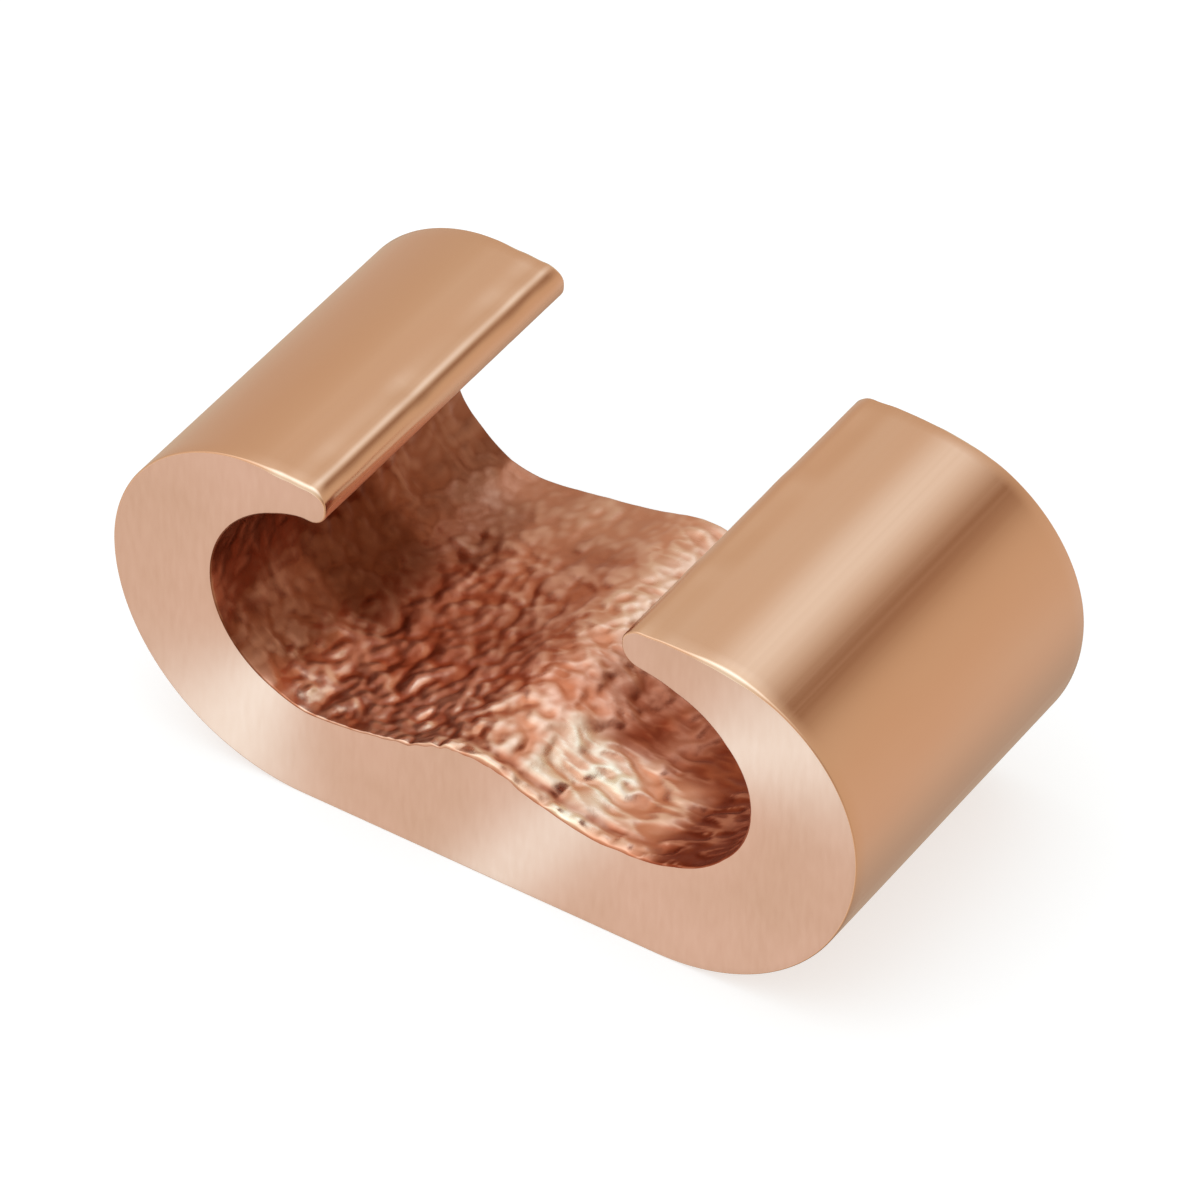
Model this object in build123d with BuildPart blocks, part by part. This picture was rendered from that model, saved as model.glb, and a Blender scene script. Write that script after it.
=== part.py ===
from build123d import *
from math import atan, degrees, radians, sin
import os

# C-shaped compression tap that joins two stranded copper conductors, in millimetres.
# It is one length of solid copper bar and lies on its foot with the mouth upwards.
# X is its width, Y runs along the conductors and Z points up from the middle of the foot.
# The run conductor lies on the -X side, the tap conductor on the +X side.

# Sizes of the section
groove_radius = 5.1       # both conductor grooves
groove_spacing = 16.0     # between the middles of the grooves
end_wall = 4.9            # from a groove to the outer side of the bar
floor_thickness = 4.7     # under the lowest line of a groove
lip_thickness = 1.9       # over the highest line of a groove
run_lip_overhang = 0.6    # reach of the lip past the middle of the run groove
tap_lip_overhang = 1.2    # reach of the lip past the middle of the tap groove
ridge_rise = 1.65         # top of the middle ridge over the lowest line of a groove
ridge_radius = 4.5        # crown of the middle ridge
shoulder_radius = 7.5     # outer round from the widest line up to the lip

# Sizes along the conductors
length = 17.5
edge_break = 0.2          # chamfer round both sawn ends

# Places that follow from those sizes
half_spacing = groove_spacing / 2
half_width = half_spacing + groove_radius + end_wall
groove_top = floor_thickness + 2 * groove_radius
height = groove_top + lip_thickness
heel_radius = height - shoulder_radius
run_tip = -half_spacing + run_lip_overhang
tap_tip = half_spacing - tap_lip_overhang
nose_radius = 0.45 * lip_thickness

# From the ridge down to the lowest line of a groove the floor is two arcs with a common slope.
# Both turn by the same angle, so over half the spacing they fall by the rise of the ridge.
flank_angle = degrees(2 * atan(ridge_rise / half_spacing))
flank_radius = half_spacing / sin(radians(flank_angle)) - ridge_radius

with BuildPart() as body:
    with BuildSketch(Plane.XZ) as section:
        # Outside: flat foot, heel, shoulder and the flat top of the lip
        with BuildLine() as outside:
            foot = Line((0, 0), (half_width - heel_radius, 0))
            heel = JernArc(foot @ 1, foot % 1, heel_radius, 90)
            shoulder = JernArc(heel @ 1, heel % 1, shoulder_radius, 90)
            Line(shoulder @ 1, (0, height))
            mirror(about=Plane.YZ)
        make_face()

        # Channel: middle ridge, flank, half-round groove and the underside of the lip
        with BuildLine() as channel:
            ridge = JernArc((0, floor_thickness + ridge_rise), (1, 0), ridge_radius, -flank_angle)
            flank = JernArc(ridge @ 1, ridge % 1, flank_radius, flank_angle)
            groove = JernArc(flank @ 1, flank % 1, groove_radius, 180)
            Line(groove @ 1, (0, groove_top))
            mirror(about=Plane.YZ)
        make_face(mode=Mode.SUBTRACT)

        # Mouth between the lips, through which the conductors are laid in
        with Locations(((run_tip + tap_tip) / 2, height)):
            Rectangle(tap_tip - run_tip, 2 * lip_thickness, mode=Mode.SUBTRACT)
    extrude(amount=length / 2, both=True)

    # Each lip ends in a rounded nose
    lip_ends = body.faces().filter_by(Axis.X).filter_by_position(Axis.X, -half_spacing, half_spacing)
    fillet(lip_ends.edges().filter_by(Axis.Y), nose_radius)

    # The edges round both sawn ends are broken
    sawn_ends = body.faces().filter_by(Axis.Y)
    chamfer(sawn_ends.edges(), edge_break)

body.part.label = "body"
os.makedirs("parts", exist_ok=True)
export_step(body.part, "parts/body.step")
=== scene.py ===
import math

import bpy
import numpy as np
from mathutils import Matrix, Vector


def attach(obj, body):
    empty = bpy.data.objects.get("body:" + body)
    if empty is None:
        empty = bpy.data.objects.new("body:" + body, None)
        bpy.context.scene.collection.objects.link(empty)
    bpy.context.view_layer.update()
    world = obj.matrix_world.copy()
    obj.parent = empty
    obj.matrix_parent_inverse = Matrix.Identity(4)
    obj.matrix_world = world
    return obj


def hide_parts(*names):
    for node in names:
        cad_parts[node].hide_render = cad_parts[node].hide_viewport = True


# A copper C-tap in the shared frame: X across, Y along the conductors, Z up from the foot.
# The run side lies at -X, the tap side at +X, and the front end at -Y.
# Lengths are in millimetres up to the moment a mesh is made, and metres from there on.

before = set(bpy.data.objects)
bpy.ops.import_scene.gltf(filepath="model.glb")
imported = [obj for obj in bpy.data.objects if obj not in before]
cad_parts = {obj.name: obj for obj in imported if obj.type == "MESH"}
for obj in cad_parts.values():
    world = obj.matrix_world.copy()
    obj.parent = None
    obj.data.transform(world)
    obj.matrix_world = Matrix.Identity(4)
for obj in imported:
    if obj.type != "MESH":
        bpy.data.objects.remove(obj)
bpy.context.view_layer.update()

MM = 0.001

# The section, as the solid has it.
half_width = 18.0
height = 16.8
length = 17.5
shoulder_radius = 7.5
heel_radius = height - shoulder_radius
groove_radius = 5.1
half_spacing = 8.0
floor_thickness = 4.7
groove_middle = floor_thickness + groove_radius
groove_top = groove_middle + groove_radius
nose_radius = 0.855
run_tip = 7.4
tap_tip = 6.8
ridge_rise = 1.65
ridge_radius = 4.5
flank_angle = np.degrees(2 * np.arctan(ridge_rise / half_spacing))
flank_radius = half_spacing / np.sin(np.radians(flank_angle)) - ridge_radius

# The full quarter-round along a sawn end, and the share of it that the channel's edge has.
edge_round = 0.2
channel_share = 0.4

# How far the channel stands above its drawn line at each end, at places across the tap.
channel_places = [-12.5, -11.5, -10.0, -8.5, -6.5, -5.0, -3.5, -1.5, 0.5,
                  2.0, 4.0, 6.0, 7.0, 8.0, 9.5, 12.0, 13.0]
front_rise = [0.0, 0.0, 0.0, -0.1, 0.0, 0.0, -0.05, -0.05, -0.2,
              -0.25, -0.22, -0.15, 0.0, 0.12, 0.3, 0.28, 0.14]
back_rise = [0.15, 0.26, 0.16, 0.24, 0.42, 0.48, 0.38, 0.14, 0.2,
             0.1, 0.0, 0.0, 0.0, 0.0, 0.0, 0.0, 0.0]

# The burr along the front edge of the channel and the furrow behind it: place, width and height.
burr_place, burr_width, burr_height = -8.42, 0.24, 0.16
furrow_place, furrow_width, furrow_depth = -7.90, 0.22, 0.08

# How much the run lip is thinned at the back, and how deep the knocks beside the noses are.
lip_thinning = 0.3
knock_depth = 0.05

# Cells of the mesh: along each half of the section, in each quarter-round, and along the length.
nose_cells = 11
lip_cells = 10
roof_cells = 52
wall_cells = 78
floor_cells = 84
edge_cells = 3
rough_rows = 150
drawn_rows = 30

# Where the points between the outside and the channel lie on a sawn end, as shares of the way in.
end_shares = np.array([0.06, 0.28, 0.5, 0.72, 0.94])[:, None]

# The finish of a face, as its number in the piece's list of materials.
drawn, sawn, rough = 0, 1, 2

# Base colours of the copper in linear light: of the drawn outside and its worn edges, pale partly
# as wear and partly as a painted highlight; of the sawn ends and the sheen painted on them; and of
# the hollows and the crests of the channel, the crests lighter partly as painted glint, where it is
# red, pale as a painted highlight, and brown, partly as painted shade, in a shaded and a lit copy.
drawn_warm, drawn_pale, worn_edge_highlight = (0.80, 0.49, 0.335), (0.80, 0.515, 0.365), (1.0, 0.90, 0.80)
sawn_warm, sawn_pale, painted_sheen_tone = (0.70, 0.465, 0.365), (0.76, 0.51, 0.42), (1.0, 0.88, 0.84)
red_hollow, red_crest = (0.69, 0.235, 0.125), (1.0, 0.58, 0.45)
pale_hollow, pale_crest = (0.83, 0.46, 0.31), (1.0, 0.88, 0.72)
run_hollow, run_crest = (0.17, 0.042, 0.017), (0.42, 0.175, 0.10)
tap_hollow, tap_crest = (0.24, 0.040, 0.015), (0.48, 0.135, 0.060)
nose_copper = (0.80, 0.50, 0.35)


def mixed(first, second, share):
    """First going over to second in straight proportion to a share from 0 to 1."""
    return first * (1 - share) + second * share


def ease(value, low, high):
    """Eased step from 0 at low to 1 at high: three squares less two cubes of the way between."""
    t = np.clip((value - low) / (high - low), 0, 1)
    return t * t * (3 - 2 * t)


def fade(value, low, high):
    """Eased step from 1 at low to 0 at high."""
    return 1 - ease(value, low, high)


def bell(off, width):
    """Bell curve of a distance: e to the power of less its square, counted in widths."""
    return np.exp(-(off / width)**2)


def straight(start, end, count=40):
    """Evenly spaced points on a straight run from start to end."""
    return mixed(np.array(start), np.array(end), np.linspace(0, 1, count)[:, None])


def bend(centre, radius, start, end, count=400):
    """Evenly spaced points on a circle, from one angle to another in degrees."""
    a = np.radians(np.linspace(start, end, count))
    return np.array(centre) + radius * np.column_stack([np.cos(a), np.sin(a)])


def distances(points):
    """How far each point of a line lies from the first, along the line."""
    return np.cumsum(np.hypot(*np.diff(points, axis=0, prepend=points[:1]).T))


def measured(runs):
    """Joins runs of points into one line, with the distance along it at every point
    and at the end of each run."""
    points = np.vstack(runs)
    walk = distances(points)
    ends = np.cumsum([len(run) for run in runs]) - 1
    return points, walk, walk[ends]


def spaced(line, stations, cells):
    """Points at even distances between the stations of a line, with so many cells in each
    stretch."""
    points, walk, _ = line
    stretches = zip(stations[:-1], stations[1:], cells)
    stops = [np.linspace(start, end, count, endpoint=False) for start, end, count in stretches]
    at = np.append(np.concatenate(stops), stations[-1])
    return np.column_stack([np.interp(at, walk, points[:, k]) for k in (0, 1)])


def half_section(tip):
    """Both faces of one half of the section, from the middle of the lip's rounded nose
    to the middle of the tap.

    The outside goes over the shoulder and the heel to the foot, the channel round the groove and
    up to the ridge. Both are straight runs and circle bends that meet smoothly, and both are cut
    into the same number of cells, stretch by stretch, so that a sawn end can be ruled between them.
    """
    nose = tip + nose_radius
    nose_high = height - nose_radius
    beyond = max(nose - half_spacing, 0.0)
    reach = groove_radius + nose_radius
    turn = np.degrees(np.arcsin(beyond / reach))
    groove = np.array([half_spacing, groove_middle])
    leaning = np.array([np.sin(np.radians(turn)), np.cos(np.radians(turn))])
    roof_end = groove + groove_radius * leaning
    if beyond:
        # the nose runs straight on into the groove
        nose_low = groove_middle + np.sqrt(reach**2 - beyond**2)
        roof_start = roof_end
    else:
        # a short flat roof lies between them
        nose_low = groove_top + nose_radius
        roof_start = (nose, groove_top)
    nose_middle = (nose_low + nose_high) / 2
    ridge_top = floor_thickness + ridge_rise
    lip_end = 72
    outside = measured([
        straight((tip, nose_middle), (tip, nose_high)),
        bend((nose, nose_high), nose_radius, 180, 90),
        straight((nose, height), (half_width - shoulder_radius, height)),
        bend((half_width - shoulder_radius, height - shoulder_radius), shoulder_radius, 90, 0),
        bend((half_width - heel_radius, heel_radius), heel_radius, 0, -90),
        straight((half_width - heel_radius, 0), (0, 0)),
    ])
    channel = measured([
        straight((tip, nose_middle), (tip, nose_low)),
        bend((nose, nose_low), nose_radius, 180, 270 - turn),
        straight(roof_start, roof_end),
        bend(groove, groove_radius, 90 - turn, lip_end),
        bend(groove, groove_radius, lip_end, 0),
        bend(groove, groove_radius, 0, -90),
        bend((half_spacing, floor_thickness + flank_radius), flank_radius, -90, -90 - flank_angle),
        bend((0, ridge_top - ridge_radius), ridge_radius, 90 - flank_angle, 90),
    ])
    cells = [nose_cells, lip_cells, roof_cells, wall_cells, floor_cells]
    out_stations = [0] + [outside[2][run] for run in (1, 2, 3, 4, 5)]
    in_stations = [0] + [channel[2][run] for run in (1, 3, 4, 5, 7)]
    return spaced(outside, out_stations, cells), spaced(channel, in_stations, cells)


def whole_section():
    """The outside and the channel from the run side's nose to the tap side's, each with its
    outward normals: the line between a point's two neighbours, turned by a quarter."""
    run_out, run_in = half_section(run_tip)
    tap_out, tap_in = half_section(tap_tip)
    flip = np.array([-1.0, 1.0])
    outside = np.vstack([run_out * flip, tap_out[-2::-1]])
    channel = np.vstack([run_in * flip, tap_in[-2::-1]])
    loop = np.vstack([outside, channel[-2:0:-1]])
    onward = np.roll(loop, -1, axis=0) - np.roll(loop, 1, axis=0)
    onward /= np.linalg.norm(onward, axis=1)[:, None]
    normals = np.column_stack([onward[:, 1], -onward[:, 0]])
    n = len(outside)
    channel_normals = np.vstack([normals[:1], normals[:n - 2:-1]])
    return outside, normals[:n], channel, channel_normals


def rows(cells):
    """Where each row of points lies along Y and how far it is drawn in. At both ends the rows
    follow a quarter-round: by the sine of an even turn along Y, and by its cosine inwards."""
    turn = np.linspace(0, np.pi / 2, edge_cells + 1)
    end = length / 2
    low = -end + edge_round * (1 - np.sin(turn))
    inset = edge_round * (1 - np.cos(turn))
    middle = np.linspace(-end + edge_round, end - edge_round, cells + 1)
    y = np.concatenate([low[::-1][:-1], middle, -low[1:]])
    pull = np.concatenate([inset[::-1][:-1], np.zeros(cells + 1), inset[1:]])
    return y, pull


def worn_rows(y, pull, share):
    """The rows for each column of points, with the quarter-round at both ends made a share of its
    full size: its rows keep that share of their distance from the end and of their pull."""
    slack = 1.01
    off = length / 2 - np.abs(y)
    off = np.where(off < edge_round * slack, off * share[:, None], off)
    return np.sign(y) * (length / 2 - off), pull * share[:, None]


def edge_wear(x, z):
    """How much of the full quarter-round an edge has, by its place on the outside.

    It is least on the foot and the heels. On the top of each lip it rises as a bell curve, which
    a random swell makes stronger and weaker."""
    least, most_more = 0.35, 1.05
    tap_lip = bell(x - 11.8, 1.6)
    run_lip = 0.8 * bell(x + 8.8, 1.7)
    top = ease(z, 13.0, 15.0)
    chance = 1 + 0.35 * swell(x, z, pitch=0.7, seed=81)
    return least + most_more * (tap_lip + run_lip) * top * chance


def squares(value, pitch):
    """Which cell of a grid each value lies in, counted from 0, and how far into it from 0 to 1."""
    cell = np.floor(value / pitch).astype(int)
    return cell - cell.min(), value / pitch - cell


def domes(u, v, pitch, seed, step, tilt, crown):
    """Height of a field of low domes: one stands at random in each square of a grid, raised by up
    to a step, a little tilted, and falling off by its crown times the square of the distance.
    The surface is the highest of the nine nearest."""
    rng = np.random.default_rng(seed)
    cell_u, in_u = squares(u, pitch)
    cell_v, in_v = squares(v, pitch)
    table = rng.random((cell_u.max() + 3, cell_v.max() + 3, 5))
    best = np.full(u.shape, -np.inf)
    for du in (-1, 0, 1):
        for dv in (-1, 0, 1):
            draw = table[cell_u + 1 + du, cell_v + 1 + dv]
            x = (in_u - du - draw[..., 0]) * pitch
            y = (in_v - dv - draw[..., 1]) * pitch
            lean = tilt * ((draw[..., 2] - 0.5) * x + (draw[..., 3] - 0.5) * y)
            best = np.maximum(best, step * draw[..., 4] + lean - crown * (x * x + y * y))
    return best


def swell(u, v, pitch, seed):
    """Smooth random swell from -1 to 1: random heights on a grid, joined by eased steps."""
    rng = np.random.default_rng(seed)
    cell_u, in_u = squares(u, pitch)
    cell_v, in_v = squares(v, pitch)
    table = rng.uniform(-1, 1, (cell_u.max() + 2, cell_v.max() + 2))
    in_u, in_v = (t * t * t * (t * (t * 6 - 15) + 10) for t in (in_u, in_v))
    near = mixed(table[cell_u, cell_v], table[cell_u + 1, cell_v], in_u)
    far = mixed(table[cell_u, cell_v + 1], table[cell_u + 1, cell_v + 1], in_u)
    return mixed(near, far, in_v)


def creases(u, v, pitch, seed):
    """Sharp winding crests from 0 to 1: one less the size of two swells together, squared. The
    second swell is turned by the angle of a 3, 4, 5 triangle, so that no grid shows."""
    turned = 0.8 * u + 0.6 * v, 0.8 * v - 0.6 * u
    smooth = 0.6 * swell(u, v, pitch, seed) + 0.6 * swell(*turned, pitch * 1.1, seed + 1)
    return (1 - np.minimum(np.abs(smooth) * 1.3, 1)) ** 2


def softened(relief, times=1):
    """Each height averaged with its neighbours, a quarter, a half and a quarter, first across
    the tap and then along it, so many times over."""
    for axis in (0, 1) * times:
        cells = np.moveaxis(relief, axis, 0)
        near = np.concatenate([cells[:1], cells[:-1]])
        far = np.concatenate([cells[1:], cells[-1:]])
        relief = np.moveaxis(near / 4 + cells / 2 + far / 4, 0, axis)
    return relief


def crest_of(relief, zone):
    """How high each point stands among its zone, from 0 to 1: an eased step from 1.1 standard
    deviations under the zone's mean to 1.5 over it."""
    there = relief[zone > 0.5]
    return ease((relief - there.mean()) / there.std(), -1.1, 1.5)


def slow_rise(x, y):
    """How far the channel stands above its drawn line: straight lines across the tap from place
    to place, and in straight proportion from the front end to the back."""
    front = np.interp(x, channel_places, front_rise)
    back = np.interp(x, channel_places, back_rise)
    return mixed(front, back, (y + length / 2) / length)


def channel_zones(x, y, z):
    """Where each kind of surface lies in the channel, as shares from 0 to 1.

    Each is a product of eased steps across, along and up the tap: the walls of the run groove and
    of the tap groove, the back of the channel, the crumpled foil on the front of the tap groove's
    floor, the folds towards the front end, and the strokes combed over the ridge behind them."""
    run_wall = np.maximum(ease(-x, 9.6, 12.8), ease(z, 6.8, 10.0) * (x < 0))
    tap_wall = np.maximum(ease(x, 10.0, 12.4), ease(z, 7.5, 10.0) * (x > 0))
    back = ease(y, 2.0, 7.5)
    foiled = ease(x, 0.5, 3.0) * (1 - tap_wall) * fade(y, -4.0, 1.0)
    folded = fade(y, -4.0, 0.0)
    combed = ease(x, -2.0, 0.0) * (1 - tap_wall) * ease(y, -3.5, -1.5)
    return run_wall, tap_wall, back, foiled, folded, combed


def channel_relief(walk, y, x, zones):
    """Relief of the channel in millimetres, its crest share, and the blush of the foil.

    The floor is a sum of pebbles, grit, broad facets and slow lumps, higher at the front of the
    run side, with combed strokes over the ridge. The foil is a sum of softened facets and winding
    folds. The walls are low streaks up and down with some pebbles. A slow swell pulls all of them
    about, and the zones blend them. The crest share is each one's height over its own usual one,
    led by the folds and the strokes where they lie, and the blush is an eased swell."""
    run_wall, tap_wall, back, foiled, folded, combed = zones
    wall = np.maximum(run_wall, tap_wall)
    warp_u = walk + 0.20 * swell(walk, y, pitch=1.3, seed=5)
    warp_v = y + 0.30 * swell(walk, y, pitch=1.5, seed=6)

    pebbles = domes(warp_u, warp_v / 1.1, pitch=0.50, seed=11, step=0.08, tilt=0.55, crown=0.76)
    grit = domes(warp_u, warp_v / 1.1, pitch=0.36, seed=12, step=0.05, tilt=0.40, crown=0.90)
    lumps = swell(warp_u, warp_v / 1.5, pitch=0.8, seed=31)
    facets = domes(warp_u, warp_v, pitch=1.0, seed=13, step=0.08, tilt=0.60, crown=0.22)
    folds = creases(warp_u / 3.0, warp_v, pitch=0.38, seed=41)
    strokes = creases(warp_u / 1.8, warp_v, pitch=0.40, seed=45)
    blush = ease(swell(warp_u / 1.2, warp_v / 1.1, pitch=0.85, seed=73), -0.1, 0.5)
    cracks = creases(warp_u / 3.0, warp_v, pitch=0.55, seed=51)
    waves = swell(warp_u / 2.0, warp_v, pitch=0.5, seed=53)

    floor_size = 1.0 + 0.65 * fade(y, -6.0, -1.0) * fade(x, -2.0, 1.0) - 0.3 * back
    floor = 0.70 * pebbles + 0.50 * grit + 0.28 * facets + 0.03 * lumps
    floor = softened(floor) * floor_size + 0.06 * combed * strokes
    fold_height = 0.06 + 0.05 * ease(x, 4.0, 6.5)
    foil = softened(0.8 * facets + 0.25 * pebbles, 3) + fold_height * folds + 0.15 * grit
    streaks = 0.025 * cracks + 0.025 * waves
    sides = (1.3 + 0.7 * ease(y, -1.0, 4.0)) * streaks + 0.09 * tap_wall * folded * folds
    sides += (0.28 + 0.22 * ease(y, -5.0, -1.0)) * pebbles + 0.03 * lumps
    relief = softened(mixed(mixed(floor, foil, foiled), sides, wall))
    relief -= relief.mean()

    cloud = swell(warp_u / 1.6, warp_v, pitch=0.9, seed=71)
    foil_crest = 0.45 * crest_of(foil, foiled) + 0.35 * crest_of(folds, foiled)
    foil_crest = ease(foil_crest + 0.2 * crest_of(cloud, foiled), 0.12, 0.86)
    crest = mixed(crest_of(floor, 1 - wall), foil_crest, foiled)
    crest = mixed(crest, crest_of(sides, wall), wall)
    crest += 0.6 * ease(x, 4.5, 6.5) * folded * (crest_of(folds, foiled) - crest)
    crest += 0.45 * combed * (crest_of(strokes, combed) - crest)
    crest += 0.25 * back * (0.5 - crest)
    return relief, crest, blush


def channel_tones(x, y, z, crest, blush, zones):
    """The crest share with its painted shades, and the brown and bright shares of the channel. The
    brown is partly a browner tone and partly painted shade under the lips and on the groove walls;
    the bright is mostly painted highlight and reflection, with painted light on the run groove's
    roof.

    Every patch of tone is a strength times eased steps across, along and up the tap, and at each
    point the strongest patch of its kind counts. The shades take their share off the crest."""
    run_wall, tap_wall, back = zones[:3]
    front_end = fade(y, -8.0, -6.6)
    far_floor = ease(x, -6.2, -4.6) * ease(y, 4.5, 6.8)
    roof = ease(z, 10.0, 12.0) * ease(y, -7.0, -5.0) * (x < 0)

    # brown of the run groove, from its wall to the floor beside it: partly a browner tone and
    # partly painted shade under the run lip, deepest under it and at the foot of the wall at the
    # back
    run_side = ease(-x - 0.9 * front_end, 8.7, 10.8)
    deep = ease(-x, 6.9, 9.9) * ease(y, -5.0, -2.5) * fade(y, 1.5, 5.0)
    far_foot = 0.7 * ease(-x, 5.9, 7.9) * ease(y, 1.0, 3.0) * (1 - 0.5 * ease(y, 6.0, 8.0))
    run_shade = 0.5 * np.maximum(run_side, run_wall) * ease(y, -6.8, -4.6)
    run_shade = np.maximum(0.8 * deep, run_shade)

    # darker brown over the floor and the ridge behind the front, and towards the back
    floor_brown = (0.12 + 0.2 * ease(x, -6.0, -3.5)) * ease(y, -4.0, -1.5) + 0.3 * back
    floor_brown *= (1 - 0.65 * ease(x, -2.6, -0.4)) * fade(x, 1.0, 5.0)
    floor_brown *= 1 - 0.5 * far_floor

    # shade of the tap lip: its slanting edge, the strip before it and the foot of the ridge
    tap_side = np.maximum(ease(x, 7.0, 9.2), tap_wall)
    slant = x - 0.35 * y
    paler = ease(x, 4.3, 5.6) * fade(x, 6.2, 7.2)
    tap_shade = np.max([
        ease(slant, 3.3, 5.0) * ease(y, -4.6, -3.0) * (1 - 0.28 * paler),
        0.8 * ease(slant, 1.7, 3.0) * ease(y, -2.7, -1.3),
        0.5 * ease(x, 0.2, 1.4) * ease(y, -2.8, -1.4),
    ], axis=0) * fade(y, 0.0, 3.0)

    # the tap side's brown is partly painted shade under the tap lip, thinner on the highest crests
    tap_brown = 0.95 * tap_side * (1 - 0.45 * ease(crest, 0.65, 0.95))
    run_brown = (0.82 - 0.15 * front_end) * run_wall
    brown = np.max([run_brown, 0.78 * run_side, deep, far_foot, floor_brown, tap_brown, tap_shade], axis=0)
    # painted light on the roof of the run groove near the front: less brown, lighter crests, some
    # pale
    brown *= 1 - 0.65 * roof
    crest = crest * (1 - np.max([run_shade, 0.6 * tap_side, 0.45 * tap_shade], axis=0))
    crest += 0.6 * roof * (1 - crest)

    # painted highlight and reflection: cream on the foil and pink glints along the front and on the
    # run floor; and gold on the ridge, paler towards the back
    cream = ease(x, 0.5, 2.2) * (1 - 0.28 * blush) * (1 - 0.65 * ease(x, 4.6, 6.2))
    cream *= fade(x, 7.5, 9.0)
    cream *= fade(y, -5.0, -2.6)
    glinting = 0.22 + 0.14 * ease(x, -3.0, -1.0) + 0.28 * front_end
    glinting *= ease(-y, 3.2, 5.6)
    glinting *= ease(x, -10.2, -9.0)
    glinting *= fade(x, 0.5, 2.0)
    run_floor_glints = 0.05 * ease(x, -10.2, -9.0) * fade(x, -5.5, -3.5) * fade(y, -0.5, 2.0)
    golden = ease(x, -2.4, -0.2) * ease(y, -3.0, 1.0)
    golden *= 1 - ease(x, 3.0, 4.5) * fade(y, -0.5, 1.5)
    golden *= 0.36 + 0.16 * ease(y, 0.0, 2.5)
    far_light = 0.3 * back + 0.15 * far_floor
    bright = np.max([cream, glinting, run_floor_glints, golden, far_light, 0.4 * roof], axis=0)
    return crest, brown, bright


def front_burr(walk, y, x, z):
    """The burr along the front edge of the ridge and the tap groove and the furrow behind it,
    as shares from 0 to 1.

    Each is a bell curve along Y over its reach. A swell makes it wander, and beads, which are
    softened domes, make it rise and fall."""
    reach = ease(x, -4.0, -1.5) * fade(x, 7.5, 9.5) * (z < groove_middle)
    beads = domes(walk, y, pitch=0.65, seed=61, step=0.06, tilt=0.2, crown=0.8)
    beads = crest_of(softened(beads, 3), reach)
    wander = 0.14 * swell(walk, y, pitch=0.9, seed=63)
    burr = reach * bell(y - burr_place + wander, burr_width) * (0.35 + 0.65 * beads)
    furrow = reach * bell(y - furrow_place + wander, furrow_width) * (1 - 0.5 * beads)
    return burr, furrow


def crumple(walk, y, x, z):
    """Relief of the rough channel and height of its burr in millimetres, and the crest, brown and
    bright shares from 0 to 1.

    The relief and the tones come by zone. The burr is pale, partly clean metal and partly a painted
    highlight, and the furrow brown, a painted shade."""
    zones = channel_zones(x, y, z)
    relief, crest, blush = channel_relief(walk, y, x, zones)
    crest, brown, bright = channel_tones(x, y, z, crest, blush, zones)
    burr, furrow = front_burr(walk, y, x, z)
    # the burr painted pale as a highlight, the furrow behind it painted brown as shade
    crest = np.maximum(crest * (1 - 0.7 * furrow), 0.8 * burr)
    brown = np.maximum(brown * (1 - burr), 0.55 * furrow)
    bright = np.maximum(0.92 * bright * (1 - furrow), 0.3 * burr)
    return relief, burr_height * burr - furrow_depth * furrow, crest, brown, bright


def painted_sheen(x, z):
    """How much sheen is painted on the sawn face, from 0 to 1, as a pale painted highlight: a fan
    round each groove and a slanting band under the ridge. Each is a bell curve, of the angle round
    the groove's middle or of the distance from the band."""
    def fan(middle_x, towards, width):
        angle = np.degrees(np.arctan2(z - groove_middle, x - middle_x))
        return bell((angle - towards + 180) % 360 - 180, width)

    run_fan = fan(-half_spacing, towards=-118.0, width=21.0)
    tap_fan = fan(half_spacing, towards=34.0, width=22.0)
    band_foot, band_slope = 0.6, 0.75
    band = bell(x - band_foot - band_slope * z, 2.3) * fade(z, 6.0, 8.0)
    return np.max([run_fan, 0.85 * tap_fan, 0.75 * band], axis=0)


def channel_skin(channel, normals):
    """The rough channel as a grid of points, a column for each point of its line and the rows
    along Y, with the tones and the painted light and shade of each point, and how rough it is.

    A point stands off the line along its normal by the relief, the burr and the slow rise, less
    the thinning of the run lip and the quarter-round at the ends. The relief is calm beside the
    noses and at both ends, and stays ragged along the front edge of the ridge."""
    walk = distances(channel)
    y, pull = rows(rough_rows)
    walk_at, y = np.meshgrid(walk, y, indexing="ij")
    x, z = (np.repeat(channel[:, k:k + 1], y.shape[1], axis=1) for k in (0, 1))
    relief, burr, crest, brown, bright = crumple(walk_at, y, x, z)
    off_nose = np.minimum(walk_at, walk[-1] - walk_at)
    calm = ease(off_nose, 0.3, 2.2)
    ragged = ease(x, -6.5, -4.5) * fade(x, 3.5, 5.0)
    end = length / 2
    rim = np.maximum(ease(y, -end, -8.0), 0.75 * ragged)
    rim = np.minimum(rim, 0.15 + 0.85 * ease(-y, -end, -8.2))
    thin_lip = ease(walk_at, 0.3, 1.6) * fade(walk_at, 1.8, 5.0) * ease(y, -3.0, 1.5)
    y, pull = worn_rows(y, pull, np.full(len(walk), channel_share))
    out = relief * calm * rim + burr + slow_rise(x, y) * calm - lip_thinning * thin_lip - pull
    out_x, out_z = (normals[:, None, k] * out for k in (0, 1))
    points = np.stack([x + out_x, y, z + out_z], -1)

    # the channel's rounded end edges are painted browner and duller, a painted shade over their
    # highlight
    end_round_share = np.minimum(pull / (channel_share * edge_round), 1)
    crest = crest * (1 - 0.5 * end_round_share)
    brown = brown * (1 - 0.6 * end_round_share) + (0.8 - 0.3 * ease(x, -4.0, 0.0)) * end_round_share
    bright = bright * (1 - end_round_share) + 0.2 * end_round_share
    roughened = ease(off_nose + 0.4 * swell(walk_at, y, pitch=0.8, seed=91), 0.4, 2.0)
    return points, np.stack([crest, brown, bright], -1), roughened


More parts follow.
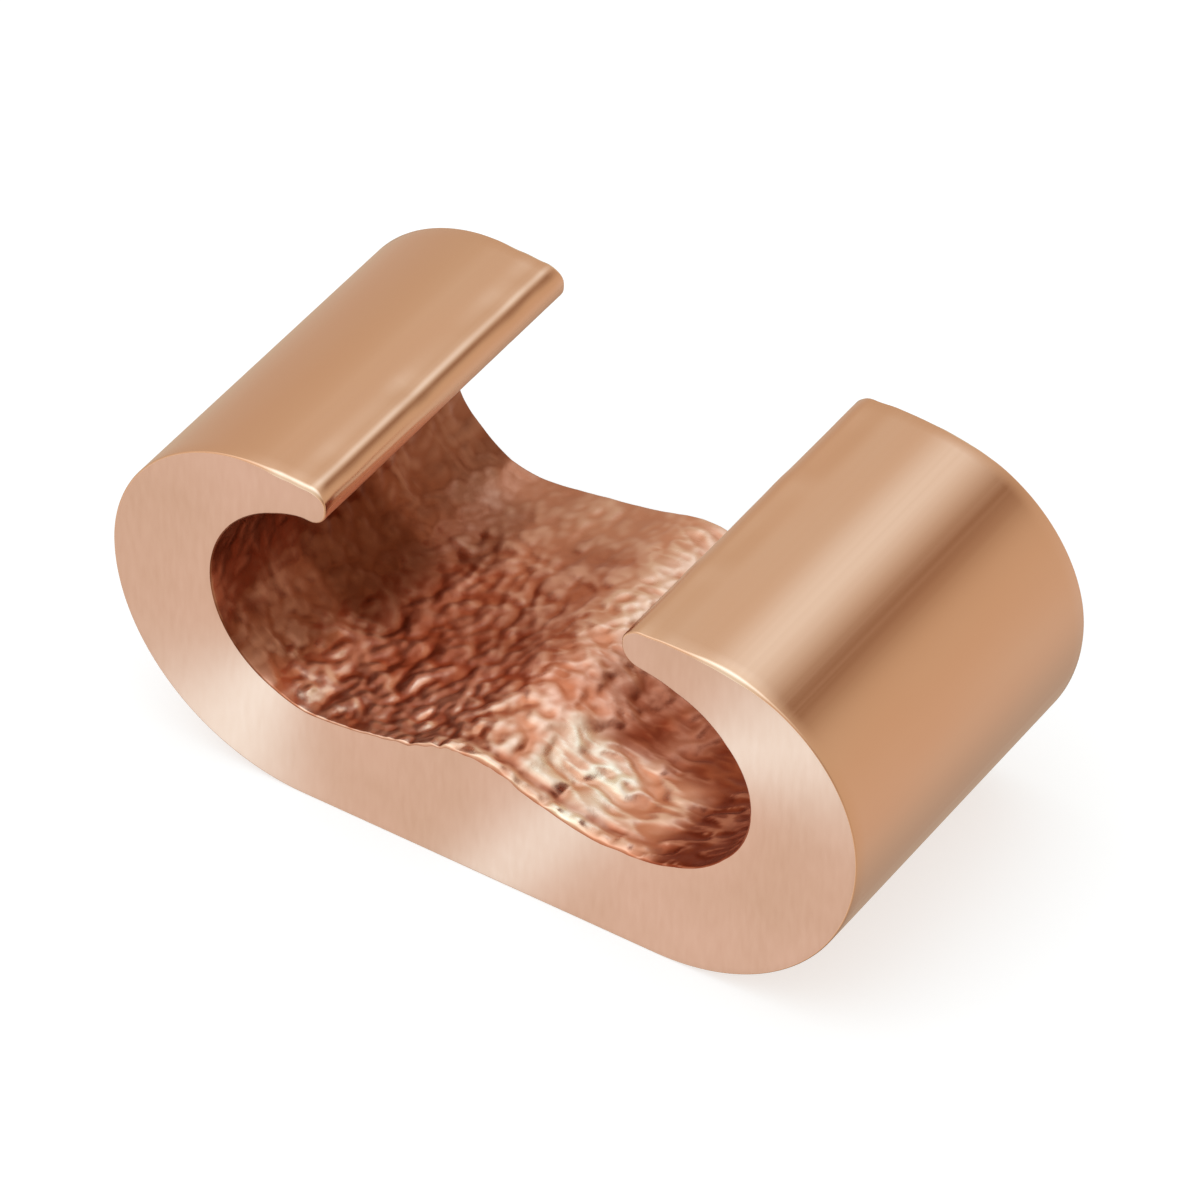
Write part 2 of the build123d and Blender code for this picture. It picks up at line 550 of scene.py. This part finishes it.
def drawn_skin(outside, normals):
    """The smooth outside as a grid of points, a column for each point of its line and the rows
    along Y, with how rubbed each point is.

    A point is drawn in along its normal by the worn quarter-round at the ends, and beside the
    noses by shallow knocks, which are a low bank times one and a random swell. The worn edges of
    the lips are marked rubbed, which pales them partly as wear and partly as a painted highlight."""
    walk = distances(outside)
    y, pull = rows(drawn_rows)
    off_nose = np.minimum(walk, walk[-1] - walk)
    wear = edge_wear(outside[:, 0], outside[:, 1])
    wear = channel_share + (wear - channel_share) * ease(off_nose, 0.0, 1.3)
    y, pull = worn_rows(y, pull, wear)
    side = y * 0 + 5 * np.sign(outside[:, :1])
    knocked = knock_depth * ease(off_nose, 0.2, 0.9) * fade(off_nose, 1.6, 2.6)
    inwards = pull + knocked[:, None] * (1 + swell(y, side, pitch=1.3, seed=95))
    x, z = (outside[:, None, k] - normals[:, None, k] * inwards for k in (0, 1))
    # rubbed edges are painted pale: partly wear, partly a painted highlight
    rubbed_and_highlit = (pull > 0) * np.clip(wear - 0.5, 0, 1)[:, None]
    return np.stack([x, y, z], -1), rubbed_and_highlit


def tap_shell():
    """The whole tap as one closed skin: its points, its triangles with their finishes, and the
    marks that the materials read.

    The channel and the outside are grids of points that share a column of the channel's at each
    nose. Both sawn ends are ruled in straight lines between the last rows of the two."""
    outside, out_normals, channel, in_normals = whole_section()
    inner, inner_painted_tones, inner_rough = channel_skin(channel, in_normals)
    outer, outer_rubbed_highlight = (grid[1:-1] for grid in drawn_skin(outside, out_normals))
    inner_id = np.arange(inner[..., 0].size).reshape(inner.shape[:2])
    outer_id = inner_id.size + np.arange(outer[..., 0].size).reshape(outer.shape[:2])
    points = [inner.reshape(-1, 3), outer.reshape(-1, 3)]
    count = inner_id.size + outer_id.size
    triangles, kinds = [], []

    def add(a, b, c, kind):
        corners = np.stack([a.ravel(), b.ravel(), c.ravel()], -1)
        triangles.append(corners)
        kinds.append(np.full(len(corners), kind))

    def sheet(grid, kind, turned):
        """Two triangles in each cell of a grid, turned where the grid is seen from its back."""
        a, b, c, d = grid[:-1, :-1], grid[1:, :-1], grid[1:, 1:], grid[:-1, 1:]
        if turned:
            b, d = d, b
        add(a, b, c, kind)
        add(a, c, d, kind)

    sheet(inner_id, rough, False)
    sheet(outer_id, drawn, True)

    # The seams beside the noses, where the channel's fine rows meet the outside's wide rows. Each
    # fine cell has a triangle to the nearer corner of the wide cell that it lies along, and each
    # wide cell has one to the fine row at its middle.
    fine_of_wide = np.concatenate([
        np.arange(edge_cells),
        edge_cells + np.arange(drawn_rows + 1) * (rough_rows // drawn_rows),
        edge_cells + rough_rows + 1 + np.arange(edge_cells),
    ])
    starts, ends = fine_of_wide[:-1], fine_of_wide[1:]
    middle = (starts + ends) // 2
    fine_cell = np.arange(inner_id.shape[1] - 1)
    wide_cell = np.searchsorted(ends, fine_cell, side="right")
    corner = wide_cell + (fine_cell >= middle[wide_cell])
    for side, turned in ((0, False), (-1, True)):
        fine, wide = inner_id[side], outer_id[side]
        fine_a, fine_b, wide_a, wide_b = fine[:-1], fine[1:], wide[1:], wide[:-1]
        if turned:
            fine_a, fine_b, wide_a, wide_b = fine_b, fine_a, wide_b, wide_a
        add(fine_a, fine_b, wide[corner], drawn)
        add(wide_a, wide_b, fine[middle], drawn)

    # The sawn ends, ruled across, with a fan of triangles round each nose.
    for row, turned in ((0, False), (-1, True)):
        between = mixed(outer[:, row][:, None], inner[1:-1, row][:, None], end_shares)
        between_id = count + np.arange(between[..., 0].size).reshape(between.shape[:2])
        points.append(between.reshape(-1, 3))
        count += between_id.size
        ruled = np.column_stack([outer_id[:, row], between_id, inner_id[1:-1, row]])
        sheet(ruled, sawn, turned)
        for nose, edge, flipped in ((0, ruled[0], turned), (-1, ruled[-1], not turned)):
            a, b = edge[:-1], edge[1:]
            if flipped:
                a, b = b, a
            add(np.full(len(a), inner_id[nose, row]), a, b, sawn)

    # The tones, with their painted light and shade, are for the channel alone. One mark says both
    # how rough the channel is and how rubbed the edges of the outside are, which pales them partly
    # as wear and partly as a painted highlight, and is 0 at the noses, where the two meet.
    tones_with_painted_light = np.zeros((count, 3))
    tones_with_painted_light[inner_id] = inner_painted_tones
    roughened = np.zeros(count)
    roughened[outer_id] = outer_rubbed_highlight
    roughened[inner_id] = inner_rough
    places = np.vstack(points)
    # the sheen painted on the sawn ends, a painted highlight
    pale = painted_sheen(places[:, 0], places[:, 2])
    return places * MM, np.vstack(triangles), np.concatenate(kinds), tones_with_painted_light, pale, roughened


def nodes_of(name):
    """A new material with its node tree, its shader and its Object coordinates in millimetres."""
    material = bpy.data.materials.new(name)
    material.use_nodes = True
    tree = material.node_tree
    shader = tree.nodes["Principled BSDF"]
    place = tree.nodes.new("ShaderNodeTexCoord").outputs["Object"]
    scale = tree.nodes.new("ShaderNodeVectorMath")
    scale.operation = "SCALE"
    scale.inputs["Scale"].default_value = 1 / MM
    tree.links.new(place, scale.inputs[0])
    return material, tree, shader, scale.outputs["Vector"]


def stretched(tree, place, factors):
    """The place in millimetres, scaled by its own factor on each axis."""
    node = tree.nodes.new("ShaderNodeVectorMath")
    node.operation = "MULTIPLY"
    node.inputs[1].default_value = factors
    tree.links.new(place, node.inputs[0])
    return node.outputs["Vector"]


def grain(tree, place, scale, detail):
    """A noise from 0 to 1 with the given number of spots in a millimetre."""
    node = tree.nodes.new("ShaderNodeTexNoise")
    node.inputs["Scale"].default_value = scale
    node.inputs["Detail"].default_value = detail
    node.inputs["Roughness"].default_value = 0.5
    tree.links.new(place, node.inputs["Vector"])
    return node.outputs["Fac"]


def mapped(tree, value, low, high, to_low, to_high):
    """A value moved from one range to another, and held inside it."""
    node = tree.nodes.new("ShaderNodeMapRange")
    ranges = {"From Min": low, "From Max": high, "To Min": to_low, "To Max": to_high}
    for socket, number in ranges.items():
        node.inputs[socket].default_value = number
    tree.links.new(value, node.inputs["Value"])
    return node.outputs["Result"]


def blended(tree, factor, first, second, how="MIX"):
    """One colour going over to another by a factor, or with the other added by it."""
    node = tree.nodes.new("ShaderNodeMix")
    node.data_type = "RGBA"
    node.blend_type = how
    tree.links.new(factor, node.inputs["Factor"])
    for socket, colour in ((node.inputs["A"], first), (node.inputs["B"], second)):
        if isinstance(colour, tuple):
            socket.default_value = (*colour, 1)
        else:
            tree.links.new(colour, socket)
    return node.outputs["Result"]


def marked(tree, name):
    """The node that reads one of the skin's own attributes."""
    node = tree.nodes.new("ShaderNodeAttribute")
    node.attribute_name = name
    return node


def parted(tree, vector):
    """The three numbers of a vector, one by one."""
    node = tree.nodes.new("ShaderNodeSeparateXYZ")
    tree.links.new(vector, node.inputs[0])
    return node.outputs["X"], node.outputs["Y"], node.outputs["Z"]


def bumped(tree, shader, value, height_mm):
    """Fine relief of a given height on the shader."""
    node = tree.nodes.new("ShaderNodeBump")
    node.inputs["Strength"].default_value = 1.0
    node.inputs["Distance"].default_value = height_mm * MM
    tree.links.new(value, node.inputs["Height"])
    tree.links.new(node.outputs["Normal"], shader.inputs["Normal"])


def drawn_copper():
    """Satin copper with faint lines along Y from the drawing die, rubbed pale on worn edges, partly
    as wear and partly as a painted highlight.
    """
    material, tree, shader, place = nodes_of("drawn copper")
    shader.inputs["Metallic"].default_value = 1.0
    cloud = grain(tree, stretched(tree, place, (0.25, 0.08, 0.25)), 1.0, 2.0)
    lines = grain(tree, stretched(tree, place, (5.0, 0.03, 5.0)), 1.0, 2.0)
    clouded = mapped(tree, cloud, 0.3, 0.7, 0, 1)
    colour = blended(tree, clouded, drawn_warm, drawn_pale)
    # pale worn edges: partly wear, partly a painted highlight
    rubbed_and_highlit = marked(tree, "roughened").outputs["Fac"]
    colour = blended(tree, rubbed_and_highlit, colour, worn_edge_highlight)
    tree.links.new(colour, shader.inputs["Base Color"])
    tree.links.new(mapped(tree, lines, 0.3, 0.7, 0.20, 0.26), shader.inputs["Roughness"])
    bumped(tree, shader, lines, 0.001)
    return material


def sawn_copper():
    """Pale copper of the sawn ends, with a sheen painted in fans as a painted highlight, and the
    faint marks of the blade.
    """
    material, tree, shader, place = nodes_of("sawn copper")
    shader.inputs["Metallic"].default_value = 1.0
    marks = grain(tree, stretched(tree, place, (1.0, 1.0, 0.2)), 4.0, 3.0)
    cloud = grain(tree, place, 0.15, 2.0)
    clouded = mapped(tree, cloud, 0.35, 0.65, 0, 1)
    plain = blended(tree, clouded, sawn_warm, sawn_pale)
    # fans of painted sheen, a painted highlight on the sawn ends
    painted_sheen_fans = marked(tree, "painted_sheen").outputs["Fac"]
    colour = blended(tree, painted_sheen_fans, plain, painted_sheen_tone)
    tree.links.new(colour, shader.inputs["Base Color"])
    tree.links.new(mapped(tree, marks, 0.3, 0.7, 0.40, 0.50), shader.inputs["Roughness"])
    bumped(tree, shader, marks, 0.003)
    return material


def rough_copper():
    """Crumpled red copper of the channel: deeper in its hollows and lighter on its crests, partly
    as oxide and partly as painted shade and glint; browner in the run groove and under the lips,
    partly as painted shade in shaded and lit copies; pale in the tap groove as a painted highlight;
    and plain drawn copper where it meets the noses."""
    material, tree, shader, place = nodes_of("rough copper")
    shader.inputs["Metallic"].default_value = 1.0
    # the crest share carries painted glint and shade, the brown partly painted shade, the bright a
    # painted highlight
    crest, brown, bright = parted(tree, marked(tree, "tones_with_painted_light").outputs["Vector"])
    red = blended(tree, crest, red_hollow, red_crest)
    pale = blended(tree, crest, pale_hollow, pale_crest)
    across = mapped(tree, parted(tree, place)[0], -5.0, 3.0, 0, 1)
    shadowed = blended(tree, across, run_hollow, tap_hollow)
    lit = blended(tree, across, run_crest, tap_crest)
    # shaded and lit copies of the brown: painted shade
    shaded_brown = blended(tree, crest, shadowed, lit)
    colour = blended(tree, bright, red, pale)
    colour = blended(tree, brown, colour, shaded_brown)
    roughened = marked(tree, "roughened").outputs["Fac"]
    colour = blended(tree, roughened, nose_copper, colour)
    tree.links.new(colour, shader.inputs["Base Color"])
    fine = grain(tree, place, 3.0, 2.0)
    gloss = tree.nodes.new("ShaderNodeMath")
    gloss.operation = "MULTIPLY_ADD"
    gloss.inputs[1].default_value = -0.10
    tree.links.new(bright, gloss.inputs[0])
    tree.links.new(mapped(tree, fine, 0.3, 0.7, 0.32, 0.42), gloss.inputs[2])
    tree.links.new(gloss.outputs[0], shader.inputs["Roughness"])
    bumped(tree, shader, fine, 0.010)
    return material


def tap_piece():
    """The dressed tap: one closed copper skin with a finish for each kind of face."""
    places, faces, kinds, tones_with_painted_light, pale, roughened = tap_shell()
    mesh = bpy.data.meshes.new("tap_copper")
    mesh.from_pydata(places, [], faces)
    mesh.polygons.foreach_set("material_index", kinds.astype(np.int32))
    mesh.polygons.foreach_set("use_smooth", np.ones(len(faces), bool))
    marks = mesh.attributes.new("tones_with_painted_light", "FLOAT_VECTOR", "POINT")
    marks.data.foreach_set("vector", tones_with_painted_light.astype(np.float32).ravel())
    # the painted sheen of the sawn ends, and the roughness share that also paints the rubbed edges
    # pale
    for name, share in (("painted_sheen", pale), ("roughened", roughened)):
        marks = mesh.attributes.new(name, "FLOAT", "POINT")
        marks.data.foreach_set("value", share.astype(np.float32))
    for material in (drawn_copper(), sawn_copper(), rough_copper()):
        mesh.materials.append(material)
    mesh.validate()
    mesh.update()
    piece = bpy.data.objects.new("tap_copper", mesh)
    bpy.context.scene.collection.objects.link(piece)
    return piece


def bench_top():
    """The pale floor under the tap: a flat square, wide enough for a low view, and a hundredth of
    a millimetre under the foot."""
    half_side = 6.0
    under_foot = 0.00001
    t = np.array([-1.0, 1.0]) * half_side
    x, y = np.meshgrid(t, t, indexing="ij")
    places = np.column_stack([x.ravel(), y.ravel(), np.full(4, -under_foot)])
    mesh = bpy.data.meshes.new("bench_top")
    mesh.from_pydata(places, [], [(0, 2, 3, 1)])
    material = bpy.data.materials.new("pale board")
    material.use_nodes = True
    shader = material.node_tree.nodes["Principled BSDF"]
    shader.inputs["Base Color"].default_value = (0.50, 0.54, 0.60, 1)
    shader.inputs["Roughness"].default_value = 1.0
    shader.inputs["Specular IOR Level"].default_value = 0.0
    shader.inputs["Emission Color"].default_value = (1, 1, 1, 1)
    shader.inputs["Emission Strength"].default_value = 0.62
    mesh.materials.append(material)
    board = bpy.data.objects.new("bench_top", mesh)
    bpy.context.scene.collection.objects.link(board)
    board.visible_glossy = False
    return board


def heading(azimuth, elevation):
    """A direction, by degrees from +Y towards +X and degrees up."""
    a, e = np.radians([azimuth, elevation])
    return Vector((np.sin(a) * np.cos(e), np.cos(a) * np.cos(e), np.sin(e)))


def studio():
    """Soft light all round: a warm grey room with round patches of light overhead, high behind the
    tap, high at its front left and low all round, and two dark patches, high behind at the right
    and low at the front right."""
    world = bpy.data.worlds.new("studio")
    world.use_nodes = True
    bpy.context.scene.world = world
    tree = world.node_tree
    tree.nodes.clear()
    out = tree.nodes.new("ShaderNodeOutputWorld")
    background = tree.nodes.new("ShaderNodeBackground")
    tree.links.new(background.outputs[0], out.inputs["Surface"])
    direction = tree.nodes.new("ShaderNodeTexCoord").outputs["Generated"]

    def patch(towards, width):
        """A soft round patch, 1 at its middle, falling off over so many degrees."""
        dot = tree.nodes.new("ShaderNodeVectorMath")
        dot.operation = "DOT_PRODUCT"
        dot.inputs[1].default_value = towards
        tree.links.new(direction, dot.inputs[0])
        sharpness = 1 / np.radians(width) ** 2
        power = tree.nodes.new("ShaderNodeMath")
        power.operation = "MULTIPLY_ADD"
        power.inputs[1].default_value = sharpness
        power.inputs[2].default_value = -sharpness
        tree.links.new(dot.outputs["Value"], power.inputs[0])
        lobe = tree.nodes.new("ShaderNodeMath")
        lobe.operation = "EXPONENT"
        tree.links.new(power.outputs[0], lobe.inputs[0])
        return lobe.outputs[0]

    # The room's own colour, and then each patch: its azimuth, elevation and width in degrees, its
    # colour, and whether that colour is added to what is there or takes its place.
    light = (0.65, 0.535, 0.38)
    for azimuth, elevation, width, colour, how in (
        (20, -22, 20, (0.08, 0.13, 0.21), "ADD"),
        (45, -10, 38, (0.07, 0.05, 0.05), "ADD"),
        (-147, -41, 25, (0.40, 0.46, 0.52), "ADD"),
        (10, -75, 20, (0.30, 0.25, 0.22), "MIX"),
        (-52, -4, 24, (0.0, 0.02, 0.07), "ADD"),
        (-6, 55, 10.5, (0.33, 0.61, 0.85), "ADD"),
        (180, 80, 24, (0.60, 0.85, 1.00), "ADD"),
        (-140, 42, 23, (0.50, 0.52, 0.55), "ADD"),
        (36, 40, 9, (0.25, 0.12, 0.055), "MIX"),
        (138, 10, 13, (0.25, 0.15, 0.10), "MIX"),
    ):
        light = blended(tree, patch(heading(azimuth, elevation), width), light, colour, how)
    tree.links.new(light, background.inputs["Color"])


def camera():
    """The photograph's view: a long lens, from the front and right, well above the tap.

    The camera stands at its distance from the aim point, back along the heading, and is rolled
    about that line."""
    azimuth, elevation, roll = 32.576, 40.924, 0.922
    distance = 380.0
    middle = Vector((0, 0, 8.4))
    aim_right, aim_up = 0.1446, 0.059
    a, r = np.radians([azimuth, roll]).tolist()
    away = -heading(-azimuth, -elevation)
    level = Vector((math.cos(a), math.sin(a), 0))
    upright = away.cross(level)
    right = math.cos(r) * level + math.sin(r) * upright
    up = math.cos(r) * upright - math.sin(r) * level
    aim = middle + aim_right * right + aim_up * up
    place = (aim + distance * away) * MM
    data = bpy.data.cameras.new("view")
    data.lens = 278.27
    data.sensor_width = 36.0
    data.clip_start = 0.01
    view = bpy.data.objects.new("view", data)
    bpy.context.scene.collection.objects.link(view)
    view.matrix_world = Matrix((
        (right.x, up.x, away.x, place.x),
        (right.y, up.y, away.y, place.y),
        (right.z, up.z, away.z, place.z),
        (0, 0, 0, 1)))
    bpy.context.scene.camera = view


tap = tap_piece()
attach(tap, "root")
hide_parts("body")
bench_top()
studio()
camera()
bpy.context.scene.view_settings.view_transform = "Standard"
